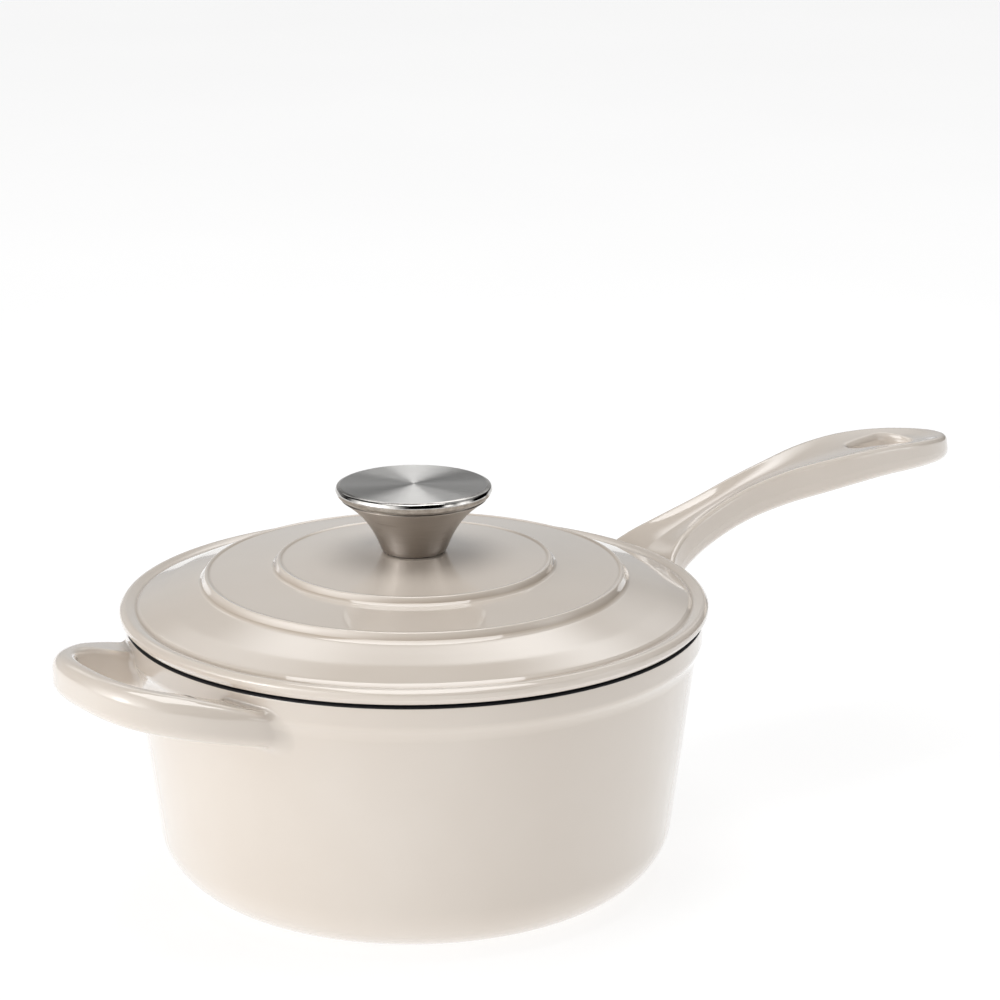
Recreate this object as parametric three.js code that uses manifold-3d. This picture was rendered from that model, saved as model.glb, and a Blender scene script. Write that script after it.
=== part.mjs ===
// Enamelled cast-iron saucepan with its cast lid and steel knob, in millimetres, +Z up.
//
// The origin is the centre of the flat base, on the pan's axis. The long handle runs along +X
// and the helper handle along -X. Every piece stands where it is on the closed pan.

import * as THREE from "three";
import { mergeVertices } from "three/addons/utils/BufferGeometryUtils.js";
import Module from "manifold-3d";

const wasm = await Module();
wasm.setup();

// ---------------------------------------------------------------- driving dimensions

const fitGap = 0.3; // left between two pieces that touch
const castSegments = 64; // facets round the two castings
const knobSegments = 40; // facets round the knob's pieces
const screwSegments = 24; // facets round the fasteners

// Pan
const panHeight = 91.4; // base to the ground rim
const rimRadius = 98.4; // outside of the rim band
const rimChamfer = 1.4; // bare edge between the band and the ground rim
const rimChamferRise = 0.84; // height of that edge
const bandHeight = 7.9; // straight part of the rim band
const bandFall = 2.8; // height over which the band falls back to the wall
const bandProud = 1.9; // how far the band stands out from the wall
const bandHollow = 0.4; // bend in the band's fall, as a share of its height and of its depth
const baseRadius = 86.4; // where the wall's slope would meet the base
const baseFillet = 18.6; // outside rounding between wall and base
const wallThickness = 3.8;
const floorThickness = 4.4;
const floorFillet = 14; // inside rounding between wall and floor

// Long handle
const handleReach = 151.3; // rim band to tip
const handleRise = 29.1; // ground rim to the top of the grip
const gripHalfWidth = 15.2;
const neckHalfWidth = 8.4;
const rootHalfWidth = 20;
const gripThickness = 11.9;
const neckThickness = 13.5;
const rootThickness = 17.7;
const handleChannel = 2.4; // depth of the hollow along the top of the neck
const channelSide = 0.45; // each side of the channel's floor, as a share of the half width
const channelSideDepth = 0.8; // depth of the channel there, as a share of its full depth
const channelEnd = 0.5; // where the channel has faded into the grip's dish, from rim (0) to tip (1)
const gripDish = 1.6; // depth of the shallow dish along the top of the grip
const tipStart = 0.76; // where the grip begins to narrow to its tip, from rim (0) to tip (1)
const tipBluntness = 0.3; // width of the tip's end, as a share of the grip's
const tipThinning = 0.25; // how much thinner the handle is at its very end, as a share
const tipSteps = 7;
const handleEdge = 2.4; // rounding along the handle's edges
const handleStations = [-0.04, 0.012, 0.03, 0.06, 0.1, 0.15, 0.2, 0.27, 0.34, 0.42, 0.5, 0.58, 0.66, 0.72];
const eyeTipInset = 26.7; // handle tip to the centre of the eye's wide end
const eyeLength = 18.5; // between the centres of the eye's two ends
const eyeWideRadius = 6.8;
const eyeNarrowRadius = 2.8;

// Helper handle
const helperReach = 33.1; // rim band to the outside of the loop
const helperHalfWidth = 48.8;
const helperThickness = 12.9;
const helperDrop = 3; // ground rim down to the loop's top face at the wall
const helperTilt = 0.24; // rise of the loop for each millimetre outwards
const helperBar = 7.8; // width of the bar across the loop's end
const fingerHalfWidth = 28; // half the width of the finger gap
const helperEdge = 3.2; // rounding along the loop's edges
const helperPower = 2.6; // squareness of the loop's curve; 2 would be an ellipse
const helperRoot = 54; // axis to the middle of the loop's curve
const fingerStart = 4; // wall to the middle of the finger gap's curve

// Lid
const lidOverhang = 1.8; // rim bead past the pan's rim band
const lidRise = 21.4; // seat to the flat under the knob
const lidThickness = 4;
const knobSeatRadius = 12.5; // flat that the knob stands on
const outerRingInset = 28.6; // rim bead to the outer ring's crest
const innerRingInset = 53.8; // rim bead to the inner ring's crest
const ringFall = 3; // step down on the outside of each ring
const ringWidth = 1.7; // crest to the foot of that step
const ringCrest = 0.4; // crest above the surface inside it
const crownFall = 2.4; // fall from the knob's seat to the inner ring
const ringSpacingFall = 1.7; // fall from the inner ring's foot to the outer ring
const shoulderRise = 6.6; // shoulder above the seat
const shoulderInset = 10.2; // rim bead to the shoulder
const coveInset = 4.8; // rim bead to the cove
const lipClearance = 0.9; // locating lip to the pan's inside
const lipDepth = 3.5; // locating lip below the seat
const lipWidth = 3.2;
const coveRise = 5; // cove above the seat
const coveWidth = 2.2;
const beadRadius = 2.6; // rounding of the lid's outer edge
const beadRise = 2.9; // middle of that rounding above the seat
const screwHoleClearance = 0.7; // lid's hole round the screw

// Knob
const knobRadius = 26.6;
const knobHeight = 23.2; // foot to the top face
const capThickness = 1.5;
const capLip = 4.4; // depth of the cap at its edge
const capEdge = 1.6; // rounding round the top face
const capLipWidth = 3.4; // cap's edge to the bore inside its lip
const capLipTaper = 2; // narrowing of the lip down to the skirt
const footRadius = 10.9;
const skirtTaper = 0.39; // widening for each millimetre up from the foot
const skirtStandOut = 0.1; // skirt's top edge past the cap's lip
const skirtWall = 1.2;
const skirtWallAcross = 1.44; // the sloping wall's thickness, measured level
const footEdge = 0.8; // rounding under the skirt's foot
const footEdgeRise = 0.7;
const collarRoot = 0.4; // overlap of the collar and the skirt's flare
const bushRadius = 6;
const bushHeight = 11;
const bushFlangeHeight = 2;

// Fasteners
const screwRadius = 2.9;
const screwReach = 9; // shank above the knob's foot
const screwHeadRadius = 5.6;
const screwHeadHeight = 3.4;
const screwHeadFace = 0.72; // flat of the domed head, as a share of its radius
const screwHeadDome = 0.45; // height of the dome, as a share of the head's height
const screwTipChamfer = 0.8;
const recessWidth = 1.3; // cross recess in the screw's head
const recessLength = 6;
const recessDepth = 1.8;
const lockWasherRadius = 5.4;
const lockWasherThickness = 1.4;
const lockWasherGap = 1.2;
const flatWasherRadius = 8;
const flatWasherThickness = 1.2;

// ---------------------------------------------------------------- places worked out from them

const wallTop = panHeight - bandHeight - bandFall;
const wallSlope = Math.atan2(rimRadius - bandProud - baseRadius, wallTop);
const innerShift = wallThickness / Math.cos(wallSlope);
const rimInnerRadius = insideRadius(panHeight);
const seatHeight = panHeight + fitGap;
const lidRadius = rimRadius + lidOverhang;
const lidTop = seatHeight + lidRise;
const lidUnder = lidTop - lidThickness;
const knobFoot = lidTop + fitGap;
const knobTop = knobFoot + knobHeight;
const capBottom = knobTop - capLip;
const skirtTop = capBottom - fitGap;
const capInnerRadius = knobRadius - capLipWidth;
const capLipRadius = knobRadius - capLipTaper;
const washerHoleRadius = screwRadius + fitGap;
const screwHoleRadius = screwRadius + screwHoleClearance;
const flatWasherTop = lidUnder - fitGap;
const lockWasherTop = flatWasherTop - flatWasherThickness - fitGap;
const screwHeadTop = lockWasherTop - lockWasherThickness - fitGap;

// Radius of the pan's inside face, without its fillet, at height z.
function insideRadius(z) {
  return baseRadius + z * Math.tan(wallSlope) - innerShift;
}

// ---------------------------------------------------------------- shape helpers

const point = (x, y) => new THREE.Vector2(x, y);

// Points of an arc about (x, y), from one angle to another in degrees, both ends included.
function arc(x, y, radius, fromDegrees, toDegrees, steps) {
  const points = [];
  for (let i = 0; i <= steps; i += 1) {
    const angle = THREE.MathUtils.degToRad(fromDegrees + ((toDegrees - fromDegrees) * i) / steps);
    points.push(point(x + radius * Math.cos(angle), y + radius * Math.sin(angle)));
  }
  return points;
}

// Arc that rounds the corner between a level surface at z and the pan's sloping wall.
function wallFillet(radiusAtLevel, z, fillet, steps) {
  const centre = radiusAtLevel - (fillet * (1 - Math.sin(wallSlope))) / Math.cos(wallSlope);
  const wallAngle = -THREE.MathUtils.radToDeg(wallSlope);
  return arc(centre, z + fillet, fillet, -90, wallAngle, steps);
}

// Solid of revolution about +Z. The profile's points are (radius, height).
function revolve(profile, segments) {
  return new THREE.LatheGeometry(profile, segments).rotateX(Math.PI / 2);
}

// The same for a piece with a bore: the profile is closed on itself.
function revolveRing(profile, segments) {
  return revolve([...profile, profile[0]], segments);
}

function toSolid(geometry) {
  const bare = geometry.clone();
  bare.deleteAttribute("normal");
  bare.deleteAttribute("uv");
  const merged = mergeVertices(bare, 1e-4);
  const index = merged.index.array;
  const triangles = [];
  for (let i = 0; i < index.length; i += 3) {
    const [a, b, c] = [index[i], index[i + 1], index[i + 2]];
    if (a !== b && b !== c && c !== a) triangles.push(a, b, c);
  }
  return new wasm.Manifold(
    new wasm.Mesh({
      numProp: 3,
      vertProperties: new Float32Array(merged.attributes.position.array),
      triVerts: new Uint32Array(triangles),
    }),
  );
}

function toGeometry(solid) {
  const mesh = solid.getMesh();
  const geometry = new THREE.BufferGeometry();
  geometry.setAttribute("position", new THREE.BufferAttribute(mesh.vertProperties, 3));
  geometry.setIndex(new THREE.BufferAttribute(mesh.triVerts, 1));
  geometry.computeVertexNormals();
  return geometry;
}

// Closed skin through sections with equal numbers of points, capped flat at both ends.
function loft(sections) {
  const size = sections[0].length;
  const last = (sections.length - 1) * size;
  const index = [];
  for (let row = 0; row < sections.length - 1; row += 1) {
    for (let i = 0; i < size; i += 1) {
      const a = row * size + i;
      const b = row * size + ((i + 1) % size);
      index.push(a, b, a + size, b, b + size, a + size);
    }
  }
  for (let i = 1; i < size - 1; i += 1) {
    index.push(0, i + 1, i);
    index.push(last, last + i, last + i + 1);
  }
  const geometry = new THREE.BufferGeometry().setFromPoints(sections.flat());
  geometry.setIndex(index);
  return geometry;
}

// Value at t of a smooth curve through stops of (t, value); t stays between the first stop and the last.
function smoothValue(stops, t) {
  const slope = (i) => {
    const before = stops[Math.max(i - 1, 0)];
    const after = stops[Math.min(i + 1, stops.length - 1)];
    return (after[1] - before[1]) / (after[0] - before[0]);
  };
  let i = 0;
  while (i < stops.length - 2 && stops[i + 1][0] < t) i += 1;
  const [t0, v0] = stops[i];
  const [t1, v1] = stops[i + 1];
  const span = t1 - t0;
  const u = THREE.MathUtils.clamp((t - t0) / span, 0, 1);
  const start = (1 + 2 * u) * (1 - u) ** 2 * v0 + u * (1 - u) ** 2 * span * slope(i);
  const end = u * u * (3 - 2 * u) * v1 + u * u * (u - 1) * span * slope(i + 1);
  return start + end;
}

// ---------------------------------------------------------------- pan

function panBody() {
  const bandBottom = panHeight - bandHeight;
  return revolve(
    [
      point(0, 0),
      ...wallFillet(baseRadius, 0, baseFillet, 6),
      point(rimRadius - bandProud, wallTop),
      point(rimRadius - bandProud * bandHollow, wallTop + bandFall * bandHollow),
      point(rimRadius, bandBottom),
      point(rimRadius, panHeight - rimChamferRise),
      point(rimRadius - rimChamfer, panHeight),
      point(0, panHeight),
    ],
    castSegments,
  );
}

function panCavity() {
  const floorRadius = insideRadius(floorThickness);
  const above = panHeight + handleRise;
  return revolve(
    [
      point(0, floorThickness),
      ...wallFillet(floorRadius, floorThickness, floorFillet, 5),
      point(rimInnerRadius, panHeight),
      point(rimInnerRadius, above),
      point(0, above),
    ],
    castSegments,
  );
}

// Along the handle, t runs from the rim (0) to the tip (1). Height of its top edge, as a share of the rise:
const topStops = [
  [-0.04, -0.3],
  [0, 0.06],
  [0.034, 0.24],
  [0.08, 0.36],
  [0.22, 0.63],
  [0.43, 0.88],
  [0.56, 0.965],
  [0.71, 1],
  [0.85, 0.975],
  [1, 0.87],
];
const widthStops = [
  [-0.04, rootHalfWidth * 1.1],
  [0, rootHalfWidth],
  [0.034, rootHalfWidth * 0.76],
  [0.08, (rootHalfWidth + neckHalfWidth) / 2 - 2],
  [0.28, neckHalfWidth],
  [0.36, neckHalfWidth * 1.06],
  [0.5, (neckHalfWidth + gripHalfWidth) / 2],
  [0.62, gripHalfWidth * 0.95],
  [0.74, gripHalfWidth],
  [1, gripHalfWidth],
];
const thicknessStops = [
  [0, rootThickness],
  [0.12, neckThickness * 1.1],
  [0.36, neckThickness],
  [0.6, gripThickness],
  [1, gripThickness * 0.85],
];
const handleTop = (t) => panHeight + handleRise * smoothValue(topStops, t);
const handleHalfWidth = (t) => smoothValue(widthStops, t);
const handleThickness = (t) => smoothValue(thicknessStops, t);

// One upright section across the handle: rounded edges, and a hollow top near the neck.
function handleSection(t, narrowing) {
  const x = rimRadius + handleReach * t;
  const top = handleTop(t);
  const halfWidth = handleHalfWidth(t) * narrowing;
  const thickness = handleThickness(t) * (1 - tipThinning * (1 - narrowing));
  const edge = Math.min(handleEdge, halfWidth * 0.5, thickness * 0.45);
  const hollow = Math.max(handleChannel * Math.min(1 - t / channelEnd, 1), gripDish) * narrowing;
  const outline = [
    ...arc(halfWidth - edge, top - edge, edge, 0, 90, 2),
    point(halfWidth * channelSide, top - hollow * channelSideDepth),
    point(0, top - hollow),
    point(-halfWidth * channelSide, top - hollow * channelSideDepth),
    ...arc(edge - halfWidth, top - edge, edge, 90, 180, 2),
    ...arc(edge - halfWidth, top - thickness + edge, edge, 180, 270, 2),
    ...arc(halfWidth - edge, top - thickness + edge, edge, 270, 360, 2),
  ];
  return outline.map((p) => new THREE.Vector3(x, p.x, p.y));
}

// Long handle, from inside the rim band to its rounded tip.
function longHandle() {
  const sections = handleStations.map((t) => handleSection(t, 1));
  for (let i = 0; i <= tipSteps; i += 1) {
    const along = Math.sin(((i / tipSteps) * Math.PI) / 2);
    const narrowing = Math.max(Math.sqrt(1 - along ** 2), tipBluntness);
    sections.push(handleSection(tipStart + (1 - tipStart) * along, narrowing));
  }
  return loft(sections);
}

// Teardrop cutter for the hanging eye, upright through the grip.
function hangingEye() {
  const wideX = rimRadius + handleReach - eyeTipInset;
  const narrowX = wideX - eyeLength;
  const lean = THREE.MathUtils.radToDeg(Math.asin((eyeWideRadius - eyeNarrowRadius) / eyeLength));
  const shape = new THREE.Shape([
    ...arc(wideX, 0, eyeWideRadius, lean - 90, 90 - lean, 12),
    ...arc(narrowX, 0, eyeNarrowRadius, 90 - lean, 270 + lean, 6),
  ]);
  const depth = handleRise * 2;
  return new THREE.ExtrudeGeometry(shape, { depth, bevelEnabled: false }).translate(0, 0, panHeight);
}

// Half of a rounded D in plan, from its middle at x outwards along -X.
function helperOutline(centreX, length, halfWidth, power, steps) {
  const points = [];
  for (let i = 0; i <= steps; i += 1) {
    const angle = -Math.PI / 2 + (Math.PI * i) / steps;
    const along = Math.abs(Math.cos(angle)) ** (2 / power);
    const across = Math.sign(Math.sin(angle)) * Math.abs(Math.sin(angle)) ** (2 / power);
    points.push(point(centreX - length * along, -halfWidth * across));
  }
  return points;
}

// Helper handle: a flat loop that leans up away from the wall.
function helperLoop() {
  const tip = rimRadius + helperReach;
  const rootX = -helperRoot;
  const fingerX = -rimRadius - fingerStart;
  const fingerLength = tip - helperBar + fingerX;
  const trim = helperEdge;
  const outer = helperOutline(rootX, tip + rootX - trim, helperHalfWidth - trim, helperPower, 24);
  const finger = helperOutline(fingerX, fingerLength + trim, fingerHalfWidth + trim, helperPower, 16);
  const midWall = insideRadius(panHeight - bandHeight) + wallThickness / 2;
  const span = THREE.MathUtils.radToDeg(Math.asin((fingerHalfWidth + trim) / midWall));
  const shape = new THREE.Shape(outer);
  shape.holes.push(new THREE.Path([...finger, ...arc(0, 0, midWall, 180 + span, 180 - span, 8)]));
  const geometry = new THREE.ExtrudeGeometry(shape, {
    depth: helperThickness - 2 * trim,
    bevelThickness: trim,
    bevelSize: trim,
    bevelSegments: 2,
  });
  const top = panHeight - helperDrop;
  geometry.translate(0, 0, top - helperThickness + trim);
  const lean = new THREE.Matrix4().makeShear(0, -helperTilt, 0, 0, 0, 0);
  const pivot = -rimRadius;
  return geometry.translate(-pivot, 0, 0).applyMatrix4(lean).translate(pivot, 0, 0);
}

function panGeometry() {
  const outside = toSolid(panBody()).add(toSolid(longHandle())).add(toSolid(helperLoop()));
  return toGeometry(outside.subtract(toSolid(panCavity())).subtract(toSolid(hangingEye())));
}

// ---------------------------------------------------------------- lid

function lidGeometry() {
  const outerCrest = lidRadius - outerRingInset;
  const innerCrest = lidRadius - innerRingInset;
  const shoulder = lidRadius - shoulderInset;
  const cove = lidRadius - coveInset;
  const innerEdge = lidTop - crownFall; // surface just inside the inner ring
  const outerEdge = innerEdge - ringFall - ringSpacingFall; // surface just inside the outer ring
  const shoulderTop = seatHeight + shoulderRise;
  const lipOuter = rimInnerRadius - lipClearance;
  const lipInner = lipOuter - lipWidth;
  const lipBottom = seatHeight - lipDepth;
  const lipEdge = lipWidth / 6;
  // Points over a ring, from its foot inwards.
  const ring = (crest, edge) => [
    point(crest + ringWidth, edge - ringFall),
    point(crest + ringCrest, edge + ringCrest * 0.4),
    point(crest - ringCrest, edge + ringCrest),
    point(crest - ringCrest * 3, edge),
  ];
  // The same ring seen from below, from the inside outwards.
  const hollow = (crest, edge) => [
    point(crest - ringWidth, edge - lidThickness),
    point(crest + ringWidth / 2, edge - ringFall - lidThickness),
  ];
  // Slope from the outer ring's foot (0) down to the shoulder (1), slightly domed.
  const slope = (share, depth) => {
    const fall = outerEdge - ringFall - shoulderTop;
    const foot = outerCrest + ringWidth;
    return point(foot + (shoulder - foot) * share, outerEdge - ringFall - fall * share ** 1.15 - depth);
  };
  return revolveRing(
    [
      point(screwHoleRadius, lidUnder),
      point(knobSeatRadius, lidUnder),
      ...hollow(innerCrest, innerEdge),
      ...hollow(outerCrest, outerEdge),
      slope(0.6, lidThickness),
      point(lipInner - lipWidth / 3, seatHeight + coveWidth),
      point(lipInner, seatHeight + lipEdge),
      point(lipInner + lipEdge, lipBottom),
      point(lipOuter - lipEdge, lipBottom),
      point(lipOuter, seatHeight),
      point(lidRadius - beadRadius, seatHeight),
      ...arc(lidRadius - beadRadius, seatHeight + beadRise, beadRadius, -70, 75, 5),
      point(cove, seatHeight + coveRise),
      point(cove - coveWidth, seatHeight + coveRise + ringCrest),
      slope(1, 0),
      slope(0.7, 0),
      slope(0.35, 0),
      ...ring(outerCrest, outerEdge),
      ...ring(innerCrest, innerEdge),
      point(knobSeatRadius, lidTop),
      point(screwHoleRadius, lidTop),
    ],
    castSegments,
  );
}

// ---------------------------------------------------------------- knob

function capGeometry() {
  return revolve(
    [
      point(0, knobTop - capThickness),
      point(capInnerRadius, knobTop - capThickness),
      point(capInnerRadius, capBottom),
      point(capLipRadius, capBottom),
      point(knobRadius - capEdge * 0.3, knobTop - capEdge * 1.9),
      ...arc(knobRadius - capEdge, knobTop - capEdge, capEdge, 0, 90, 4),
      point(0, knobTop),
    ],
    knobSegments,
  );
}

// Flared shell under the cap, with a collar that the cap sits over.
function skirtGeometry() {
  const height = skirtTop - knobFoot;
  const flare = capLipRadius + skirtStandOut - footRadius - skirtTaper * height;
  const radiusAt = (t) => footRadius + skirtTaper * height * t + flare * t ** 3;
  const collarRadius = capInnerRadius - fitGap;
  const collarTop = knobTop - capThickness - fitGap;
  const steps = 9;
  const outside = [point(footRadius - footEdge, knobFoot)];
  const inside = [];
  for (let i = 1; i <= steps; i += 1) {
    const t = i / steps;
    outside.push(point(radiusAt(t), knobFoot + height * t));
  }
  outside.splice(1, 0, point(footRadius, knobFoot + footEdgeRise));
  for (let i = steps - 1; i >= 0; i -= 1) {
    const t = i / steps;
    inside.push(point(radiusAt(t) - skirtWallAcross, knobFoot + height * t));
  }
  return revolveRing(
    [
      ...outside,
      point(collarRadius, skirtTop),
      point(collarRadius, collarTop),
      point(collarRadius - skirtWall, collarTop),
      point(collarRadius - skirtWall, skirtTop - collarRoot),
      ...inside,
    ],
    knobSegments,
  );
}

// Threaded bush that closes the foot of the knob and takes the screw.
function bushGeometry() {
  const flangeRadius = footRadius - skirtWallAcross - fitGap;
  return revolveRing(
    [
      point(washerHoleRadius, knobFoot),
      point(flangeRadius, knobFoot),
      point(flangeRadius, knobFoot + bushFlangeHeight),
      point(bushRadius, knobFoot + bushFlangeHeight),
      point(bushRadius, knobFoot + bushHeight),
      point(washerHoleRadius, knobFoot + bushHeight),
    ],
    knobSegments,
  );
}

// ---------------------------------------------------------------- fasteners

function screwGeometry() {
  const headBottom = screwHeadTop - screwHeadHeight;
  const turned = revolve(
    [
      point(0, headBottom),
      point(screwHeadRadius * screwHeadFace, headBottom),
      point(screwHeadRadius, headBottom + screwHeadHeight * screwHeadDome),
      point(screwHeadRadius, screwHeadTop),
      point(screwRadius, screwHeadTop),
      point(screwRadius, knobFoot + screwReach - screwTipChamfer),
      point(screwRadius - screwTipChamfer, knobFoot + screwReach),
      point(0, knobFoot + screwReach),
    ],
    screwSegments,
  );
  let screw = toSolid(turned);
  for (const [x, y] of [[recessLength, recessWidth], [recessWidth, recessLength]]) {
    const slot = new THREE.BoxGeometry(x, y, recessDepth * 2).translate(0, 0, headBottom);
    screw = screw.subtract(toSolid(slot));
  }
  return toGeometry(screw);
}

function flatWasherGeometry() {
  return revolveRing(
    [
      point(washerHoleRadius, flatWasherTop - flatWasherThickness),
      point(flatWasherRadius, flatWasherTop - flatWasherThickness),
      point(flatWasherRadius, flatWasherTop),
      point(washerHoleRadius, flatWasherTop),
    ],
    screwSegments,
  );
}

// Split spring washer between the flat washer and the screw's head.
function lockWasherGeometry() {
  const open = THREE.MathUtils.radToDeg(lockWasherGap / 2 / lockWasherRadius);
  const shape = new THREE.Shape([
    ...arc(0, 0, lockWasherRadius, open, 360 - open, screwSegments),
    ...arc(0, 0, washerHoleRadius, 360 - open * 1.6, open * 1.6, screwSegments),
  ]);
  return new THREE.ExtrudeGeometry(shape, { depth: lockWasherThickness, bevelEnabled: false }).translate(
    0,
    0,
    lockWasherTop - lockWasherThickness,
  );
}

// ---------------------------------------------------------------- assembly

const enamel = { color: 0xd6cbc0, roughness: 0.18, metalness: 0 };
const brushedSteel = { color: 0xb9b5b0, roughness: 0.32, metalness: 1 };
const zincSteel = { color: 0x9fa2a5, roughness: 0.4, metalness: 1 };

function piece(name, geometry, finish) {
  const mesh = new THREE.Mesh(geometry, new THREE.MeshStandardMaterial(finish));
  mesh.name = name;
  return mesh;
}

const saucepan = new THREE.Group();
saucepan.add(
  piece("pan", panGeometry(), enamel),
  piece("lid", lidGeometry(), enamel),
  piece("knob_cap", capGeometry(), brushedSteel),
  piece("knob_skirt", skirtGeometry(), brushedSteel),
  piece("knob_bush", bushGeometry(), zincSteel),
  piece("knob_screw", screwGeometry(), zincSteel),
  piece("lock_washer", lockWasherGeometry(), zincSteel),
  piece("flat_washer", flatWasherGeometry(), zincSteel),
);

export default saucepan;
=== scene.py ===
"""Enamelled cast-iron saucepan with its lid and steel knob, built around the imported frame."""
import math

import bpy
import numpy as np
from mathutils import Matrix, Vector

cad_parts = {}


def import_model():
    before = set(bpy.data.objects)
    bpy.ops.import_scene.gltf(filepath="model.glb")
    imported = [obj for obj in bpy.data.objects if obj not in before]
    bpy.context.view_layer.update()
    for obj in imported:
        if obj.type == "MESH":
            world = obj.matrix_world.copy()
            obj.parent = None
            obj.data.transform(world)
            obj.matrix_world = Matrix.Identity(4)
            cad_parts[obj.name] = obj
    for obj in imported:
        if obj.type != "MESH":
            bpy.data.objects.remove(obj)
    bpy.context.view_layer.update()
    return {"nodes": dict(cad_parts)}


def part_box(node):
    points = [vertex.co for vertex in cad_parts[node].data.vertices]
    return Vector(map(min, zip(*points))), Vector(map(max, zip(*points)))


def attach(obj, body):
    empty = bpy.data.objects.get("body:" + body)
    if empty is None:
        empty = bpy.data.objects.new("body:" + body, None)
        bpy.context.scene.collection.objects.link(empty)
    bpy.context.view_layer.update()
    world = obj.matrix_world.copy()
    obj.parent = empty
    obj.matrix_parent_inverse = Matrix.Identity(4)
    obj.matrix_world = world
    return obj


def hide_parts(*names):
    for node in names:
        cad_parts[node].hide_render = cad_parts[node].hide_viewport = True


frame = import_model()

MM = 0.001

# ------------------------------------------------------------------ sizes, in millimetres

PAN_LOW, PAN_HIGH = (np.array(corner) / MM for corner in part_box("pan"))
LID_LOW, LID_HIGH = (np.array(corner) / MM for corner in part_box("lid"))
CAP_LOW, CAP_HIGH = (np.array(corner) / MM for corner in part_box("knob_cap"))
SKIRT_LOW, SKIRT_HIGH = (np.array(corner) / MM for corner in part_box("knob_skirt"))

LIP_DEPTH = 3.5
GAP = 0.3
SEAT = LID_LOW[2] + LIP_DEPTH
RIM = SEAT - GAP  # height of the pan's ground rim
RIM_R = PAN_HIGH[1]
TIP_X = PAN_HIGH[0]
LOOP_X = -PAN_LOW[0]
HANDLE_Z = PAN_HIGH[2]
LID_R = LID_HIGH[0]
LID_TOP = LID_HIGH[2]

WALL_R = RIM_R - 1.9  # wall just under the rim band
WALL_Z = RIM - 10.7
BASE_R = RIM_R - 12.0
WALL_SLOPE = (WALL_R - BASE_R) / WALL_Z
WALL_COS = 1 / math.hypot(1, WALL_SLOPE)
WALL = 3.8
FLOOR = 4.4
BAND_Z = RIM - 7.7  # lower edge of the rim band
BAND_RUN, BAND_RISE = 1.9, 2.8  # how the band's underside falls away to the wall
BAND_INNER_R = RIM_R - 4.5  # the band's ring stays inside the wall
BAND_EDGE = 0.7
BAND_FILLET = 1.1
RIM_EDGE = 1.0
INSIDE_EDGE = 0.9
BASE_FILLET = 18.6
FLOOR_FILLET = 14.0
LID_CLEARANCE = 1.3  # round the lid, where the handles' roots rise past the rim
RIM_BARE_AND_GAP_SHADE = 0.75  # depth of the black below the rim: the unglazed edge, with painted shade of the gap under the lid
RIM_BARE_WIDTH = 5.2

INNER_RING, OUTER_RING = 46.5, 71.0  # radii of the crests of the lid's rings
SCREW_HOLE = 3.6
KNOB_SEAT = 12.5  # radius of the flat that the knob stands on
CAP_LIP = 3.4  # width of the cap's rolled edge
CAP_PLATE = 1.5  # thickness of the cap's face
SKIRT_FOOT = 10.9
SKIRT_SLOPE = 0.39
SKIRT_CURL = 6.6  # extra reach at the top of the flare
SKIRT_WALL = 1.44
COLLAR_WALL = 1.2


# ------------------------------------------------------------------ distance fields

def unite(a, b, radius):
    """Union of two fields with a round fillet in the corner."""
    u, v = np.maximum(radius - a, 0), np.maximum(radius - b, 0)
    return np.maximum(radius, np.minimum(a, b)) - np.hypot(u, v)


def keep(a, b, radius):
    """Intersection of two fields with a rounded edge."""
    u, v = np.maximum(radius + a, 0), np.maximum(radius + b, 0)
    return np.minimum(-radius, np.maximum(a, b)) + np.hypot(u, v)


def blend_step(x, start, end):
    """Smooth step from 0 at start to 1 at end."""
    t = np.clip((x - start) / (end - start), 0, 1)
    return t * t * (3 - 2 * t)


def curve(stops):
    """Smooth curve through (x, value) stops, as a function of x."""
    xs, vs = np.array(stops, float).T
    before, after = np.r_[0, np.arange(len(xs) - 1)], np.r_[np.arange(1, len(xs)), len(xs) - 1]
    slopes = (vs[after] - vs[before]) / (xs[after] - xs[before])

    def value(x):
        x = np.clip(x, xs[0], xs[-1])
        i = np.clip(np.searchsorted(xs, x) - 1, 0, len(xs) - 2)
        span = xs[i + 1] - xs[i]
        u = (x - xs[i]) / span
        first = (1 + 2 * u) * (1 - u) ** 2 * vs[i] + u * (1 - u) ** 2 * span * slopes[i]
        second = u * u * (3 - 2 * u) * vs[i + 1] + u * u * (u - 1) * span * slopes[i + 1]
        return first + second

    return value


def body_field(r, z):
    """Pan without handles or inside: wall, rounded foot, rim band and ground rim."""
    wall = (r - (BASE_R + WALL_SLOPE * z)) * WALL_COS
    shell = keep(wall, -z, BASE_FILLET)
    fall = ((r - RIM_R) * BAND_RISE - (z - BAND_Z) * BAND_RUN) / math.hypot(BAND_RISE, BAND_RUN)
    band = np.maximum(keep(r - RIM_R, fall, BAND_EDGE), BAND_INNER_R - r)
    fillet = BAND_FILLET * blend_step(z, RIM - 3, RIM - 5.5)
    return keep(unite(shell, band, fillet), z - RIM, RIM_EDGE)


def cavity_field(r, z):
    """Inside of the pan."""
    wall = (r - (BASE_R + WALL_SLOPE * z)) * WALL_COS + WALL
    return keep(wall, FLOOR - z, FLOOR_FILLET)


def along_handle(stops, height=0.0):
    """Curve along the long handle, from stops of (distance past the rim, value over the height)."""
    return curve([(RIM_R + far, height + value) for far, value in stops])
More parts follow.
